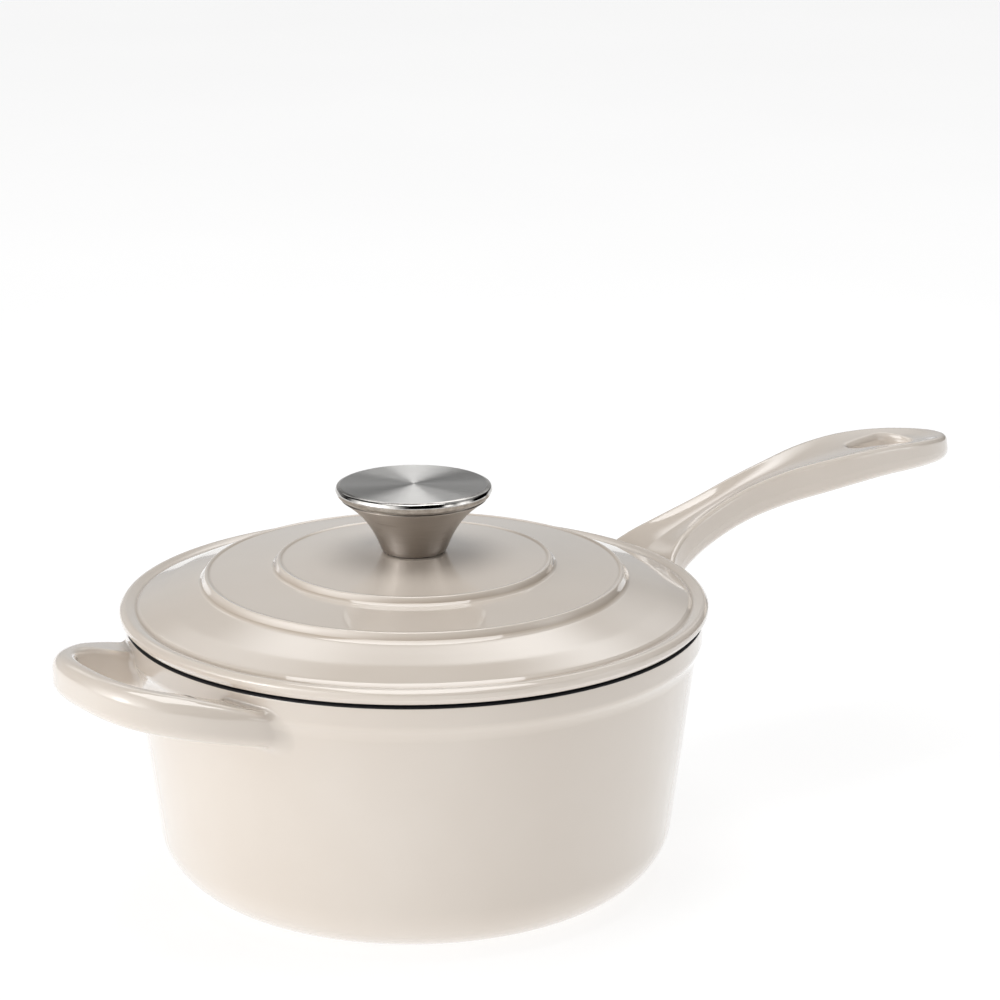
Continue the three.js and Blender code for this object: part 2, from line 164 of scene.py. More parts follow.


# Long handle, along +X: top edge, half width, thickness and the depth of its dished top. The stops
# are chosen close together only at the root and at the end, where the handle bends most.
HANDLE_REACH = TIP_X - RIM_R
HANDLE_TOP = along_handle([
    (-6, -36), (0, -27), (6, -21.5), (15, -17), (30, -11.7),
    (50, -6), (75, -2), (105, 0), (130, -1), (HANDLE_REACH, -3.3),
], HANDLE_Z)
HANDLE_HALF = along_handle([
    (-6, 23), (0, 20), (6, 15.5), (15, 11.8), (30, 9),
    (45, 8.4), (65, 10), (85, 13.5), (105, 15.2), (HANDLE_REACH, 15.2),
])
HANDLE_THICK = along_handle([(-6, 20), (0, 17.5), (12, 15), (30, 14), (80, 13.3), (HANDLE_REACH, 9.7)])
HANDLE_HOLLOW = along_handle([
    (-6, 0.5), (5, 2), (20, 2.7), (80, 2.1),
    (HANDLE_REACH - 25, 2.1), (HANDLE_REACH - 14, 1.6), (HANDLE_REACH - 4, 0.3), (HANDLE_REACH, 0.1),
])
HANDLE_DRAFT = 0.13  # how the sides lean in above their widest line, and half as much below it
WIDEST_DEPTH = 0.55  # depth of the widest line, as a share of the thickness
HANDLE_TOP_EDGE, HANDLE_BOTTOM_EDGE, EYE_EDGE = 2.0, 3.6, 2.5
HANDLE_INNER_X = RIM_R - 20
TIP_POWER = 2.1  # superellipse power of the tip's outline
TIP_START = RIM_R + 116.0
EYE_WIDE_X, EYE_NARROW_X = TIP_X - 26.7, TIP_X - 45.2
EYE_WIDE_R, EYE_NARROW_R = 6.8, 2.8


def oval(u, v, length, half, power):
    """First-order distance to a superellipse end; positive outside."""
    a, b = np.maximum(u, 0) / length, np.abs(v) / half
    level = np.maximum((a ** power + b ** power) ** (1 / power), 1e-6)
    slope = np.hypot((a / level) ** (power - 1) / length, (b / level) ** (power - 1) / half)
    return (level - 1) / np.maximum(slope, 1e-6)


def eye_field(x, y):
    """Teardrop: a cone between two circles, in plan."""
    length = EYE_WIDE_X - EYE_NARROW_X
    b = (EYE_WIDE_R - EYE_NARROW_R) / length
    a = math.sqrt(1 - b * b)
    px, py = np.abs(y), EYE_WIDE_X - x
    k = -b * px + a * py
    near = np.hypot(px, py) - EYE_WIDE_R
    far = np.hypot(px, py - length) - EYE_NARROW_R
    side = a * px + b * py - EYE_WIDE_R
    return np.where(k < 0, near, np.where(k > a * length, far, side))


def handle_field(x, y, z):
    """Long handle: drafted sides, dished top, rounded edges and the hanging eye."""
    half = HANDLE_HALF(x)
    step = 0.5  # half the span that the slopes are taken over
    rise = (HANDLE_TOP(x + step) - HANDLE_TOP(x - step)) / (2 * step)
    spread = (HANDLE_HALF(x + step) - HANDLE_HALF(x - step)) / (2 * step)
    level = 1 / np.hypot(1, rise)
    bottom = (HANDLE_TOP(x) - HANDLE_THICK(x) - z) * level
    draft = HANDLE_DRAFT * (z - HANDLE_TOP(x) + WIDEST_DEPTH * HANDLE_THICK(x))
    inset = np.maximum(draft, -0.5 * draft)
    side = (np.abs(y) - half + inset) / np.hypot(1, spread)
    tip = oval(x - TIP_START, y, TIP_X - TIP_START, half, TIP_POWER) + inset
    plan = np.where(x > TIP_START, tip, side)
    across = np.clip(1 + plan / half, 0, 1)
    top = (z - HANDLE_TOP(x) + HANDLE_HOLLOW(x) * (1 - across ** 2)) * level
    bar = keep(keep(plan, top, HANDLE_TOP_EDGE), bottom, HANDLE_BOTTOM_EDGE)
    bar = np.maximum(bar, HANDLE_INNER_X - x)
    return keep(bar, -eye_field(x, y), EYE_EDGE)


# Helper handle: a flat loop on the opposite side, leaning up away from the wall.
LOOP_TILT = 0.21
LOOP_COS = 1 / math.hypot(1, LOOP_TILT)
LOOP_THICK = 12.2
LOOP_FACE = RIM - 3.0  # top face where it meets the wall
LOOP_CREST = 1.9  # extra height away from the wall
LOOP_BAR = 7.8
LOOP_ROOT = 54.0
LOOP_HALF = 48.8
LOOP_POWER, FINGER_POWER = 2.63, 2.49  # superellipse powers of the outline and the finger gap
FINGER_START = RIM_R + 4.5
FINGER_HALF = 28.0
LOOP_EDGE, LOOP_EDGE_GAIN = 3.2, 2.6  # rounding of the top edge at the wall, and what it gains away from it
LOOP_BOTTOM_EDGE, FINGER_EDGE = 4.4, 2.6


def loop_field(x, y, z):
    """Helper handle, a superellipse with a finger gap."""
    u = -x
    outer = oval(u - LOOP_ROOT, y, LOOP_X - LOOP_ROOT, LOOP_HALF, LOOP_POWER)
    finger = oval(u - FINGER_START, y, LOOP_X - LOOP_BAR - FINGER_START, FINGER_HALF, FINGER_POWER)
    away = np.hypot(u, y) - RIM_R
    face = LOOP_FACE + LOOP_TILT * (u - RIM_R)
    top = (z - face - LOOP_CREST * blend_step(away, 1, 18)) * LOOP_COS
    bottom = (face - LOOP_THICK - z) * LOOP_COS
    edge = LOOP_EDGE + LOOP_EDGE_GAIN * blend_step(away, 4, 16)
    loop = keep(keep(outer, top, edge), bottom, LOOP_BOTTOM_EDGE)
    loop = keep(loop, -finger, FINGER_EDGE)
    return np.maximum(loop, LOOP_ROOT_X - u)


LONG_ROOT_FILLET, LOOP_ROOT_FILLET = 6.0, 3.2
LONG_ROOT_FADE, LOOP_ROOT_FADE = 3.8, 2.0  # how much of them is lost near the rim
LONG_ROOT_X, LOOP_ROOT_X = 80, 60  # the handles' fields are worked out from here outward
FAR = 1e3


def pan_field(x, y, z):
    """The whole casting: body, both handles with filleted roots, inside, and room for the lid."""
    r = np.hypot(x, y)
    solid = body_field(r, z)
    high = blend_step(z, RIM - 9, RIM - 2)
    long_root = np.where(x > LOOP_ROOT_X, handle_field(np.maximum(x, LONG_ROOT_X), y, z), FAR)
    loop_root = np.where(x < -LOOP_ROOT_X, loop_field(np.minimum(x, -LOOP_ROOT_X), y, z), FAR)
    solid = unite(solid, long_root, LONG_ROOT_FILLET - LONG_ROOT_FADE * high)
    solid = unite(solid, loop_root, LOOP_ROOT_FILLET - LOOP_ROOT_FADE * high)
    solid = keep(solid, -cavity_field(r, z), INSIDE_EDGE)
    clear = np.maximum(r - (LID_R + LID_CLEARANCE), RIM + 0.02 - z)
    return np.maximum(solid, -clear)


# ------------------------------------------------------------------ surface from the field

def spaced(*runs):
    """Grid lines from runs of (start, end, step)."""
    lines = [np.linspace(a, b, max(int(round((b - a) / step)), 1) + 1)[:-1] for a, b, step in runs]
    return np.r_[tuple(lines) + (runs[-1][1],)]


# Grid lines of the cylinder grid: turn in radians, closest near the handles, then reach and height.
HALF_TURN = np.radians(spaced((0.1, 15, 0.22), (15, 146, 1.25), (146, 179.9, 0.4)))
TURN = np.r_[HALF_TURN, 2 * math.pi - HALF_TURN[::-1]]
REACH = spaced(
    (0, 64, 8), (64, 92, 1.0), (92, 101, 0.3), (101, LOOP_X + 2, 0.6), (LOOP_X + 2, TIP_X + 1.5, 0.8),
)
HEIGHT = spaced((-0.5, 22, 1.0), (22, 74, 3.0), (74, 93, 0.34), (93, HANDLE_Z + 1.2, 0.6))


def sample_field():
    """The pan's field on the cylinder grid; the handles are only worked out where they are."""
    r, z = np.meshgrid(REACH, HEIGHT, indexing="ij")
    plain = keep(body_field(r, z), -cavity_field(r, z), INSIDE_EDGE)
    field = np.broadcast_to(plain, (len(TURN), *plain.shape)).astype(np.float32)
    near_r = REACH > 84
    near_z = HEIGHT > 55
    side = np.minimum(TURN, 2 * math.pi - TURN)
    for near_t in (side < math.radians(16), side > math.radians(144)):
        block = np.ix_(near_t, near_r, near_z)
        t, r, z = np.meshgrid(TURN[near_t], REACH[near_r], HEIGHT[near_z], indexing="ij")
        field[block] = pan_field(r * np.cos(t), r * np.sin(t), z)
    return field


def surface_net(field):
    """One vertex in each grid cell that the surface crosses, joined into quads."""
    nt, nr, nz = field.shape
    inside = field < 0
    after = np.roll(inside, -1, axis=0)
    corners = [
        layer[:, j:nr - 1 + j, k:nz - 1 + k] for layer in (inside, after) for j in (0, 1) for k in (0, 1)
    ]
    total = sum(c.astype(np.uint8) for c in corners)
    cell = np.argwhere((total > 0) & (total < 8))
    number = np.full((nt, nr - 1, nz - 1), -1, np.int64)
    number[tuple(cell.T)] = np.arange(len(cell))
    ct, cr, cz = cell.T
    turn_after = np.r_[TURN[1:], TURN[0] + 2 * math.pi]
    sums, hits = np.zeros((len(cell), 3)), np.zeros(len(cell))

    def corner(i, j, k):
        place = np.stack([np.where(i, turn_after[ct], TURN[ct]), REACH[cr + j], HEIGHT[cz + k]], 1)
        return field[(ct + i) % nt, cr + j, cz + k].astype(float), place

    for axis in range(3):
        for a in (0, 1):
            for b in (0, 1):
                low, high = [a, b], [a, b]
                low.insert(axis, 0)
                high.insert(axis, 1)
                (f0, p0), (f1, p1) = corner(*low), corner(*high)
                crossed = (f0 < 0) != (f1 < 0)
                share = np.where(crossed, f0 / np.where(crossed, f0 - f1, 1), 0)
                sums += np.where(crossed[:, None], p0 + (p1 - p0) * share[:, None], 0)
                hits += crossed
    place = sums / hits[:, None]
    quads = []
    for axis in range(3):
        if axis == 0:
            start, end = inside, after
        else:
            count = inside.shape[axis]
            start = np.take(inside, range(count - 1), axis)
            end = np.take(inside, range(1, count), axis)
        edge = np.argwhere(start != end)
        leaving = start[tuple(edge.T)]
        b, c = [(1, 2), (2, 0), (0, 1)][axis]
        ring = []
        for db, dc in ((0, 0), (-1, 0), (-1, -1), (0, -1)):
            at = edge.copy()
            at[:, b] += db
            at[:, c] += dc
            at[:, 0] %= nt
            t, j, k = at.T
            valid = (j >= 0) & (j < nr - 1) & (k >= 0) & (k < nz - 1)
            ids = number[t, np.clip(j, 0, nr - 2), np.clip(k, 0, nz - 2)]
            ring.append(np.where(valid, ids, -1))
        quad = np.stack(ring, 1)
        quad[leaving] = quad[leaving][:, ::-1]
        quads.append(quad[(quad >= 0).all(1)])
    quads = np.concatenate(quads)
    middle = cr == 0  # the cells round the axis share one vertex on it
    merged = np.arange(len(cell))
    for k in np.unique(cz[middle]):
        ids = np.flatnonzero(middle & (cz == k))
        merged[ids] = ids[0]
        place[ids[0], 1] = 0
    quads = merged[quads]
    turn, reach, height = place.T
    points = np.stack([reach * np.cos(turn), reach * np.sin(turn), height], 1)
    return points, quads


def slope_of(points):
    """Gradient of the pan's field at the points."""
    step = 0.02
    parts = []
    for axis in range(3):
        shift = np.zeros(3)
        shift[axis] = step
        parts.append((pan_field(*(points + shift).T) - pan_field(*(points - shift).T)) / (2 * step))
    return np.stack(parts, 1)


def settle(points, rounds):
    """Moves points onto the field's zero surface."""
    for _ in range(rounds):
        slope = slope_of(points)
        size = np.maximum((slope ** 2).sum(1), 0.05)
        move = (pan_field(*points.T) / size)[:, None] * slope
        length = np.linalg.norm(move, axis=1, keepdims=True)
        points = points - move * np.minimum(1, 0.8 / np.maximum(length, 1e-9))
    return points


def mesh_object(name, points, faces, materials, normals=None, which=None):
    """New object from points in millimetres; which gives each face's material."""
    mesh = bpy.data.meshes.new(name)
    mesh.from_pydata((np.asarray(points) * MM).tolist(), [], faces)
    for material in materials:
        mesh.materials.append(material)
    if which is not None:
        mesh.polygons.foreach_set("material_index", np.asarray(which, np.int32))
    mesh.shade_smooth()
    mesh.update()
    if normals is not None:
        mesh.normals_split_custom_set_from_vertices(normals.tolist())
    piece = bpy.data.objects.new(name, mesh)
    bpy.context.scene.collection.objects.link(piece)
    return piece


def build_pan(enamel, inside, ground):
    """The casting's mesh, with the inside and the bare rim in their own materials; the rim's black also
    holds painted shade of the gap under the lid.
    """
    points, quads = surface_net(sample_field())
    points = settle(points, 4)
    used, quads = np.unique(quads, return_inverse=True)
    quads = quads.reshape(-1, 4)
    points = points[used]
    normals = slope_of(points)
    normals /= np.maximum(np.linalg.norm(normals, axis=1, keepdims=True), 1e-9)
    faces = [[v for i, v in enumerate(quad) if v != quad[i - 1]] for quad in quads.tolist()]
    x, y, z = points[quads].mean(1).T
    reach = np.hypot(x, y)
    inner = (cavity_field(reach, z) < 0.8) & (z < RIM - 0.25) & (reach < RIM_R - 3)
    # Black band at the rim: the ground rim, and just below it painted shade of the gap under the lid.
    rim = (z > RIM - RIM_BARE_AND_GAP_SHADE) & (z < RIM + 0.03)
    rim &= (reach < RIM_R + 0.05) & (reach > RIM_R - RIM_BARE_WIDTH)
    which = np.where(rim, 2, np.where(inner, 1, 0))
    return mesh_object("pan_enamel", points, faces, [enamel, inside, ground], normals, which)


# ------------------------------------------------------------------ turned pieces

def rounded(corners, step=1.2):
    """Path through corners (r, z, fillet radius), with arcs at the corners and even steps between."""
    points = []
    pts = [np.array(c[:2], float) for c in corners]
    for i, corner in enumerate(corners):
        radius = corner[2] if len(corner) > 2 else 0
        if i in (0, len(corners) - 1) or not radius:
            points.append(pts[i])
            continue
        back, ahead = pts[i - 1] - pts[i], pts[i + 1] - pts[i]
        lb, la = np.linalg.norm(back), np.linalg.norm(ahead)
        back, ahead = back / lb, ahead / la
        turn = math.acos(max(-1, min(1, float(-back @ ahead))))
        if turn < 1e-3:
            points.append(pts[i])
            continue
        cut = min(radius * math.tan(turn / 2), lb * 0.49, la * 0.49)
        real = cut / math.tan(turn / 2)
        start, end = pts[i] + back * cut, pts[i] + ahead * cut
        bisector = (back + ahead) / np.linalg.norm(back + ahead)
        centre = pts[i] + bisector * (real / math.cos(turn / 2))
        count = max(3, int(math.ceil(turn / math.radians(9))))
        a0, a1 = start - centre, end - centre
        for k in range(count + 1):
            w = k / count
            d = (math.sin((1 - w) * turn) * a0 + math.sin(w * turn) * a1) / math.sin(turn)
            points.append(centre + d)
    path = [points[0]]
    for p in points[1:]:
        gap = float(np.linalg.norm(p - path[-1]))
        if gap < 1e-4:
            continue
        start = path[-1]
        for k in range(1, max(1, int(math.ceil(gap / step)))):
            path.append(start + (p - start) * k / math.ceil(gap / step))
        path.append(p)
    return np.array(path)


def turned(name, path, segments, materials, choose=None, closed=False):
    """Solid of revolution from a path of (r, z) in millimetres, its ends on the axis or joined."""
    angles = 2 * math.pi * np.arange(segments) / segments
    points, rows = [], []
    for r, z in path:
        rows.append(len(points))
        if r < 1e-6:
            points.append((0.0, 0.0, z))
        else:
            points.extend(zip(r * np.cos(angles), r * np.sin(angles), np.full(segments, z)))
    faces, which = [], []
    pairs = list(zip(range(len(path) - 1), range(1, len(path))))
    if closed:
        pairs.append((len(path) - 1, 0))
    for a, b in pairs:
        (ra, za), (rb, zb) = path[a], path[b]
        pick = choose((ra + rb) / 2, (za + zb) / 2) if choose else 0
        for i in range(segments):
            j = (i + 1) % segments
            if ra < 1e-6:
                face = (rows[a], rows[b] + j, rows[b] + i)
            elif rb < 1e-6:
                face = (rows[a] + i, rows[a] + j, rows[b])
            else:
                face = (rows[a] + i, rows[a] + j, rows[b] + j, rows[b] + i)
            faces.append(face)
            which.append(pick)
    return mesh_object(name, points, faces, materials, which=which)


def lid_path():
    """Lid's section: crown, two rings, outer slope, cove and bead, then seat, lip and underside."""
    top = [
        (SCREW_HOLE, LID_TOP), (KNOB_SEAT, LID_TOP, 10),
        (INNER_RING - 1.5, LID_TOP - 2.4, 1.0), (INNER_RING, LID_TOP - 1.9, 0.7),
        (INNER_RING + 1.0, LID_TOP - 4.0, 0.3), (INNER_RING + 2.0, LID_TOP - 4.75, 1.0),
        (OUTER_RING - 1.4, LID_TOP - 6.6, 1.0), (OUTER_RING, LID_TOP - 6.1, 0.7),
        (OUTER_RING + 1.1, LID_TOP - 8.6, 0.3), (OUTER_RING + 2.3, LID_TOP - 9.6, 1.2),
        (OUTER_RING + 8.0, LID_TOP - 11.2, 20), (OUTER_RING + 14.0, LID_TOP - 12.9, 30),
        (LID_R - 9.94, LID_TOP - 14.75, 6), (LID_R - 6.94, LID_TOP - 15.8, 1.2),
        (LID_R - 5.54, LID_TOP - 16.9, 0.7), (LID_R - 4.24, LID_TOP - 16.35, 0.9),
        (LID_R - 1.74, LID_TOP - 15.7, 1.8), (LID_R, LID_TOP - 17.2, 1.4), (LID_R, LID_TOP - 19.0, 1.5),
        (LID_R - 1.54, SEAT + 0.5, 1.0), (LID_R - 3.34, SEAT, 0.5),
    ]
    below = [
        (LID_R - 6.84, SEAT, 0.4), (LID_R - 7.24, SEAT - LIP_DEPTH, 0.7),
        (LID_R - 9.54, SEAT - LIP_DEPTH, 0.7), (LID_R - 10.04, SEAT + 0.6, 1.0),
        (LID_R - 11.74, SEAT + 2.9, 3), (OUTER_RING + 12.3, LID_TOP - 16.5, 8),
        (OUTER_RING + 2.6, LID_TOP - 13.8, 2), (OUTER_RING + 0.2, LID_TOP - 10.8, 2),
        (INNER_RING + 1.3, LID_TOP - 8.9, 2), (INNER_RING - 1.1, LID_TOP - 6.4, 2),
        (KNOB_SEAT, LID_TOP - 4, 8), (SCREW_HOLE, LID_TOP - 4),
    ]
    return rounded(top + below)[::-1]


def cap_path():
    """Knob cap's section: flat face with a rolled edge that hangs over the skirt."""
    top, low, r = CAP_HIGH[2], CAP_LOW[2], CAP_HIGH[0]
    inner = r - CAP_LIP
    return rounded([
        (0, top - CAP_PLATE), (inner, top - CAP_PLATE), (inner, low), (r - 2.0, low, 0.2),
        (r - 0.5, top - 3.1, 1.5), (r, top - 1.7, 0.9), (r - 0.45, top - 0.4, 0.9), (r - 1.7, top, 1.0),
        (0, top),
    ], step=0.6)


def skirt_path():
    """Knob skirt's section: a flared shell with a collar that stands up inside the cap."""
    low = SKIRT_LOW[2]
    height = CAP_LOW[2] - GAP - low

    def reach(t):
        return SKIRT_FOOT + SKIRT_SLOPE * height * t + SKIRT_CURL * t ** 3

    steps = 30
    outside = [(10.0, low), (10.75, low + 0.15, 0.3), (10.95, low + 0.6, 0.4)]
    outside += [(reach(i / steps), low + height * i / steps) for i in range(2, steps + 1)]
    inside = [(reach(i / steps) - SKIRT_WALL, low + height * i / steps) for i in range(steps - 1, -1, -1)]
    collar = CAP_HIGH[0] - CAP_LIP - GAP
    top = SKIRT_HIGH[2]
    ledge = low + height + 0.17
    return rounded(outside + [
        (reach(1) - 0.12, ledge), (collar, ledge), (collar, top), (collar - COLLAR_WALL, top),
        (collar - COLLAR_WALL, low + height - 0.4),
    ] + inside, step=0.8)


# ------------------------------------------------------------------ materials

def linear(*rgb):
    """Linear colour from 0 to 255 display values."""
    def one(v):
        v /= 255
        return v / 12.92 if v <= 0.04045 else ((v + 0.055) / 1.055) ** 2.4
    return (*map(one, rgb), 1.0)


class Nodes:
    """Short calls for making a material's nodes."""

    def __init__(self, name):
        self.material = bpy.data.materials.new(name)
        self.material.use_nodes = True
        self.tree = self.material.node_tree
        self.shader = self.tree.nodes["Principled BSDF"]
        self.coords = self.tree.nodes.new("ShaderNodeTexCoord").outputs["Object"]

    def node(self, kind, **values):
        node = self.tree.nodes.new(kind)
        for key, value in values.items():
            if hasattr(node, key):
                setattr(node, key, value)
            else:
                self.feed(node.inputs[key.replace("_", " ")], value)
        return node

    def feed(self, socket, value):
        if isinstance(value, bpy.types.NodeSocket):
            self.tree.links.new(value, socket)
        else:
            socket.default_value = value

    def maths(self, operation, *values):
        node = self.tree.nodes.new("ShaderNodeMath")
        node.operation = operation
        for socket, value in zip(node.inputs, values):
            self.feed(socket, value)
        return node.outputs[0]

    def noise(self, scale, detail, roughness=0.5, vector=None):
        node = self.node("ShaderNodeTexNoise", Scale=scale, Detail=detail)
        node.inputs["Roughness"].default_value = roughness
        self.feed(node.inputs["Vector"], vector or self.coords)
        return node.outputs["Fac"]

    def remap(self, value, low, high, to_low, to_high):
        node = self.tree.nodes.new("ShaderNodeMapRange")
        node.clamp = True
        for key, number in (("From Min", low), ("From Max", high), ("To Min", to_low), ("To Max", to_high)):
            node.inputs[key].default_value = number
        self.feed(node.inputs["Value"], value)
        return node.outputs["Result"]

    def mix(self, factor, a, b):
        """Colour a where factor is 0, b where it is 1; sockets 6, 7 and 2 are the node's colour ones."""
        node = self.tree.nodes.new("ShaderNodeMix")
        node.data_type = "RGBA"
        self.feed(node.inputs["Factor"], factor)
        self.feed(node.inputs[6], a)
        self.feed(node.inputs[7], b)
        return node.outputs[2]

    def reach(self):
        """Distance from the upright axis."""
        flat = self.node("ShaderNodeVectorMath", operation="MULTIPLY")
        self.feed(flat.inputs[0], self.coords)
        flat.inputs[1].default_value = (1, 1, 0)
        size = self.node("ShaderNodeVectorMath", operation="LENGTH")
        self.feed(size.inputs[0], flat.outputs["Vector"])
        return size.outputs["Value"]

    def bump(self, height, strength, distance, normal=None):
        node = self.tree.nodes.new("ShaderNodeBump")
        node.inputs["Strength"].default_value = strength
        node.inputs["Distance"].default_value = distance
        self.feed(node.inputs["Height"], height)
        if normal is not None:
            self.feed(node.inputs["Normal"], normal)
        return node.outputs["Normal"]

    def set(self, **values):
        for key, value in values.items():
            self.feed(self.shader.inputs[key.replace("_", " ")], value)
        return self.material


CREASE_HALF = 0.8  # half width of the painted shade line in a crease, in millimetres


def enamel_material(name, main, pale, roughness, crease_shade=None, creases=()):
    """Glossy vitreous enamel, softly cloudy and faintly rippled, with painted shade: thin darker lines
    along the round creases.
    """
    n = Nodes(name)
    cloud = n.remap(n.noise(14, 3), 0.35, 0.65, 0, 1)
    colour = n.mix(cloud, main, pale)
    # Painted shade: the colour darkens in a thin ring at each crease radius.
    for radius in creases:
        off = n.maths("ABSOLUTE", n.maths("SUBTRACT", n.reach(), radius * MM))
        colour = n.mix(n.remap(off, 0.0, CREASE_HALF * MM, 0.6, 0.0), colour, crease_shade)
    rough = n.remap(n.noise(38, 5), 0.3, 0.7, roughness * 0.8, roughness * 1.25)
    peel = n.bump(n.noise(260, 2), 0.06, 0.0001)
    wave = n.bump(n.noise(30, 2), 0.07, 0.0006, peel)
    n.set(Base_Color=colour, Roughness=rough, Normal=wave)
    n.set(Coat_Weight=1.0, Coat_Roughness=0.02, IOR=1.55)
    return n.material


def ground_material():
    """Matt black ground rim of the casting, sealed but not glazed; on the pan it runs a little down the
    outside as painted shade of the gap under the lid.
    """
    n = Nodes("matt_black_rim")
    grain = n.noise(900, 4, 0.6)
    colour = n.mix(n.remap(grain, 0.35, 0.65, 0, 1), linear(17, 16, 18), linear(36, 35, 40))
    n.set(Base_Color=colour, Roughness=n.remap(grain, 0.3, 0.7, 0.5, 0.75))
    n.set(Normal=n.bump(grain, 0.35, 0.00015))
    return n.material


def brushed_material(name, tint, roughness, axis, anisotropic):
    """Steel brushed in circles round the upright axis; axis says what the lines are spaced along."""
    n = Nodes(name)
    split = n.tree.nodes.new("ShaderNodeSeparateXYZ")
    n.feed(split.inputs[0], n.coords)
    x, y, z = split.outputs
    turn = n.maths("ARCTAN2", y, x)
    along = n.reach() if axis == "reach" else z
    fine, long = 3400.0, 1.6  # noise across the brush lines, per metre, and round the axis
    lines = n.tree.nodes.new("ShaderNodeCombineXYZ")
    n.feed(lines.inputs[0], n.maths("MULTIPLY", along, fine))
    n.feed(lines.inputs[1], n.maths("MULTIPLY", n.maths("SINE", turn), long))
    n.feed(lines.inputs[2], n.maths("MULTIPLY", n.maths("COSINE", turn), long))
    brush = n.noise(1.0, 3, 0.65, vector=lines.outputs[0])
    colour = n.mix(n.remap(brush, 0.3, 0.7, 0, 1), linear(*(v * 0.94 for v in tint)), linear(*tint))
    rough = n.remap(brush, 0.25, 0.75, roughness * 0.8, roughness * 1.25)
    tangent = n.tree.nodes.new("ShaderNodeTangent")
    tangent.direction_type = "RADIAL"
    tangent.axis = "Z"
    n.set(Base_Color=colour, Roughness=rough, Normal=n.bump(brush, 0.04, 0.00002))
    n.set(Metallic=1.0, Anisotropic=anisotropic, Anisotropic_Rotation=0.25, Tangent=tangent.outputs[0])
    return n.material


def steel_material(name, tint, roughness):
    """Plain bright steel with fine uneven wear."""
    n = Nodes(name)
    wear = n.noise(420, 5, 0.6)
    colour = n.mix(n.remap(wear, 0.35, 0.65, 0, 1), linear(*(v * 0.86 for v in tint)), linear(*tint))
    n.set(Base_Color=colour, Roughness=n.remap(wear, 0.3, 0.7, roughness * 0.7, roughness * 1.4))
    n.set(Normal=n.bump(wear, 0.15, 0.00005), Metallic=1.0)
    return n.material


# The darkest cream is only used for the painted shade in the lid's creases.
CREAM, CREASE_SHADE_CREAM, PALE_CREAM = linear(222, 211, 199), linear(176, 158, 138), linear(226, 216, 205)
ENAMEL = enamel_material("cream_enamel", CREAM, PALE_CREAM, 0.08)
# The lid's enamel gets painted shade lines in the creases of its rings and its cove.
LID_ENAMEL = enamel_material(
    "cream_lid_enamel", CREAM, PALE_CREAM, 0.08, CREASE_SHADE_CREAM,
    creases=(INNER_RING - 1.3, INNER_RING + 1.1, OUTER_RING - 1.2, OUTER_RING + 1.3, LID_R - 5.64),
)
INSIDE = enamel_material("inside_enamel", linear(226, 218, 206), linear(231, 224, 213), 0.14)
GROUND = ground_material()
BRUSHED_FACE = brushed_material("brushed_knob_face", (204, 203, 201), 0.4, "reach", 0.97)
# The cone's steel is tinted darker and warmer than the face's: painted shade under the cap and a painted
# reflection of the cream lid below it.
SHADE_TINTED_CONE = brushed_material("brushed_knob_cone", (188, 180, 172), 0.34, "height", 0.9)
POLISHED = steel_material("polished_edge", (206, 203, 199), 0.07)
ZINC = steel_material("plated_steel", (172, 172, 172), 0.34)


# ------------------------------------------------------------------ pieces

pan = build_pan(ENAMEL, INSIDE, GROUND)
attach(pan, "pan")
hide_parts("pan")


def lid_finish(r, z):
    """Bare ground seat, and enamel elsewhere."""
    return 1 if LID_R - 6.64 < r < LID_R - 1.54 and z < SEAT + 0.6 else 0


lid = turned("lid_enamel", lid_path(), 420, [LID_ENAMEL, GROUND], lid_finish, closed=True)
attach(lid, "lid")
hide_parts("lid")


def cap_finish(r, z):
    """Brushed face, and polished elsewhere."""
    return 0 if z > CAP_HIGH[2] - 0.02 and r < CAP_HIGH[0] - 1.6 else 1


cap = turned("knob_cap_steel", cap_path(), 256, [BRUSHED_FACE, POLISHED], cap_finish)
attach(cap, "lid")
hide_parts("knob_cap")

skirt = turned("knob_skirt_steel", skirt_path(), 256, [SHADE_TINTED_CONE], closed=True)
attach(skirt, "lid")
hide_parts("knob_skirt")

for node in ("knob_bush", "knob_screw", "lock_washer", "flat_washer"):
    part = frame["nodes"][node]
    part.data.materials.clear()
    part.data.materials.append(ZINC)


# ------------------------------------------------------------------ stage

FLOOR_HALF, FLOOR_DROP = 12000, 0.5  # half its side and how far it lies under the pan, in millimetres
FLOOR_GLOW = 0.78

# Camera and lights, in metres and radians.
HEADING = math.radians(35)  # the camera's heading, clockwise from +Y
CAMERA_AWAY, CAMERA_HEIGHT = 0.98, 0.4030
CAMERA_TURN, CAMERA_TILT = 0.0297, 0.2710
LENS = 108.25
OVERHEAD_HEIGHT, OVERHEAD_SIDE, OVERHEAD_POWER = 1.7, 1.2, 15

# Soft lights far off: heading from the camera's and height, reach, all in degrees, and level.
LIGHTS = (
    (240, 5, 56, 3.4), (240, 12, 15, 4.5),  # behind the camera, on its left
    (-12, 44, 13, 1.5), (8, 44, 13, 2.1), (26, 44, 13, 1.5),  # high at the back
    (28, 29, 20, 0.75), (-32, 34, 14, 0.9), (0, 5, 46, 0.55), (-40, 5, 30, 0.3),  # low at the back
    (88, 48, 40, 0.7), (104, 6, 24, 2.6), (128, 14, 12, 2.6), (225, 52, 34, 0.5),  # at the sides
)


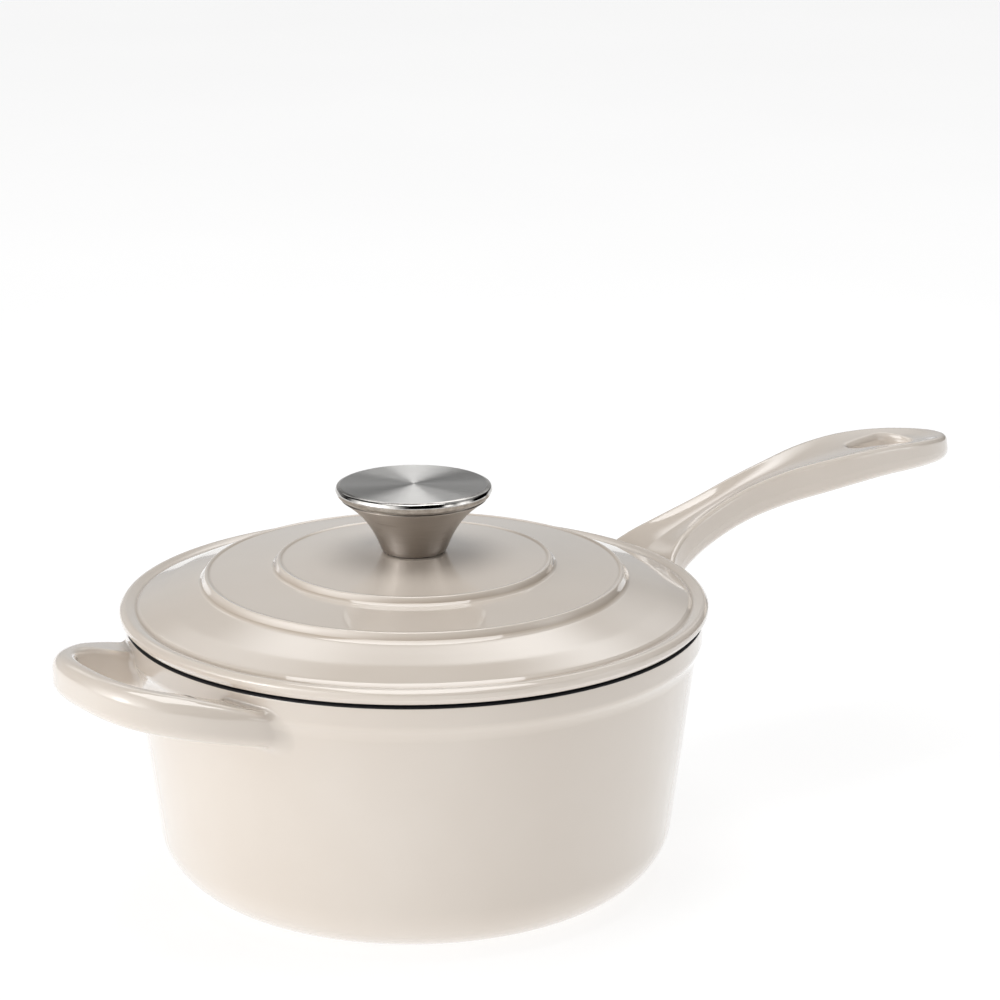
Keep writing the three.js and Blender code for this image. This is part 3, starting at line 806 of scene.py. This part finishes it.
def floor():
    """Pale floor that glows a little, so that it stays nearly white."""
    n = Nodes("pale_floor")
    shade = n.noise(3, 2)
    colour = n.mix(n.remap(shade, 0.3, 0.7, 0, 1), (0.3, 0.3, 0.3, 1), (0.32, 0.32, 0.32, 1))
    n.set(Base_Color=colour, Roughness=0.9, Emission_Color=(1, 1, 1, 1), Emission_Strength=FLOOR_GLOW)
    n.set(Specular_IOR_Level=0.1)
    half = FLOOR_HALF
    corners = [(x, y, -FLOOR_DROP) for x, y in ((-half, -half), (half, -half), (half, half), (-half, half))]
    mesh_object("floor", corners, [(0, 1, 2, 3)], [n.material])


def overhead():
    """One soft square light straight above."""
    data = bpy.data.lights.new("overhead", "AREA")
    data.size = OVERHEAD_SIDE
    data.energy = OVERHEAD_POWER
    lamp = bpy.data.objects.new("overhead", data)
    lamp.location = (0, 0, OVERHEAD_HEIGHT)
    bpy.context.scene.collection.objects.link(lamp)


def camera():
    data = bpy.data.cameras.new("camera")
    data.sensor_width = 36.0
    data.lens = LENS
    eye = bpy.data.objects.new("camera", data)
    eye.location = (-CAMERA_AWAY * math.sin(HEADING), -CAMERA_AWAY * math.cos(HEADING), CAMERA_HEIGHT)
    eye.rotation_euler = (math.pi / 2 - CAMERA_TILT, 0, -HEADING - CAMERA_TURN)
    bpy.context.scene.collection.objects.link(eye)
    bpy.context.scene.camera = eye


def toward_light(heading, height):
    """Unit vector toward a light, its heading and height in degrees from the camera's heading."""
    turn, rise = HEADING + math.radians(heading), math.radians(height)
    return Vector((math.cos(rise) * math.sin(turn), math.cos(rise) * math.cos(turn), math.sin(rise)))


def world():
    """Black surroundings with the soft lights added up."""
    made = bpy.data.worlds.new("studio")
    made.use_nodes = True
    tree = made.node_tree
    toward = tree.nodes.new("ShaderNodeTexCoord").outputs["Generated"]
    total = None
    for heading, height, reach, level in LIGHTS:
        apart = tree.nodes.new("ShaderNodeVectorMath")
        apart.operation = "DOT_PRODUCT"
        tree.links.new(toward, apart.inputs[0])
        apart.inputs[1].default_value = toward_light(heading, height)
        angle = tree.nodes.new("ShaderNodeMath")
        angle.operation = "ARCCOSINE"
        tree.links.new(apart.outputs["Value"], angle.inputs[0])
        fade = tree.nodes.new("ShaderNodeMapRange")
        fade.interpolation_type = "SMOOTHSTEP"
        tree.links.new(angle.outputs[0], fade.inputs["Value"])
        ends = {"From Min": 0.0, "From Max": math.radians(reach), "To Min": level, "To Max": 0.0}
        for key, value in ends.items():
            fade.inputs[key].default_value = value
        if total is None:
            total = fade.outputs["Result"]
            continue
        add = tree.nodes.new("ShaderNodeMath")
        tree.links.new(total, add.inputs[0])
        tree.links.new(fade.outputs["Result"], add.inputs[1])
        total = add.outputs[0]
    tree.links.new(total, tree.nodes["Background"].inputs["Strength"])
    tree.nodes["Background"].inputs["Color"].default_value = (1, 1, 1, 1)
    bpy.context.scene.world = made


floor()
camera()
world()
overhead()
bpy.context.scene.view_settings.view_transform = "Standard"
